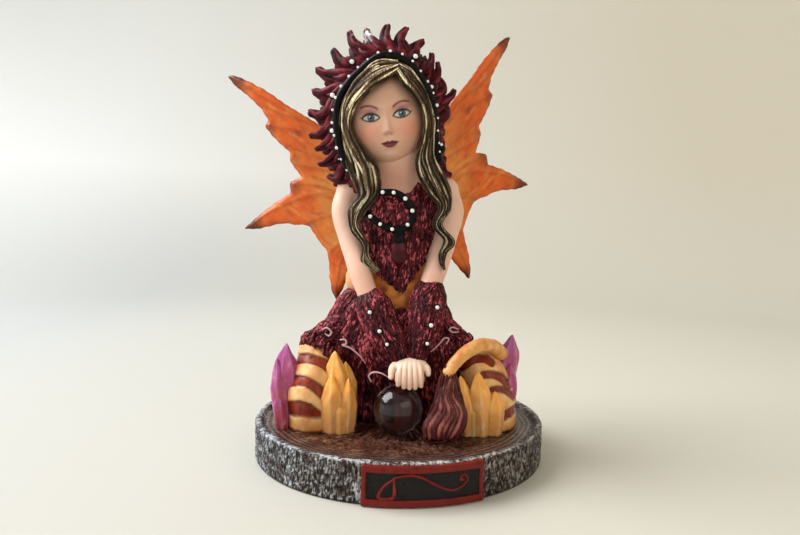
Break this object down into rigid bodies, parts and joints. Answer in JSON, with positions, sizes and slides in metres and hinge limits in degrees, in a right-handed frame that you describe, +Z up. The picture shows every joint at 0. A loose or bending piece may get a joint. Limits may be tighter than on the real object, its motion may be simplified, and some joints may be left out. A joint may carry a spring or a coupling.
{
  "type": "fairy figurine",
  "caption": "Seated winged fairy in a petal-edged hood and fur dress, its hand laid on a clear ball, on a round plinth with a framed plaque.",
  "frame": {"origin": "centre of the round base's flat underside, on the surface that the figurine stands on", "axes": "+Z up; -Y the way that the fairy faces; +X towards the viewer's right"},
  "size_m": [0.1217, 0.1013, 0.1554],
  "materials": {
    "base_resin": "satin",
    "plaque_paint": "satin",
    "burgundy_fur": "satin",
    "mane_petals": "gloss",
    "skin_paint": "satin",
    "hair_paint": "satin",
    "black_trim": "satin",
    "white_dots": "satin",
    "striped_hide": "satin",
    "amber_crystal": "gloss",
    "purple_crystal": "gloss",
    "wing_resin": "satin",
    "clear_glass": "gloss"
  },
  "bodies": {
    "root": {"base": "base_resin", "figure": "burgundy_fur", "wing_left": "wing_resin", "wing_right": "wing_resin", "crystal_ball": "clear_glass"}
  },
  "joints": []
}
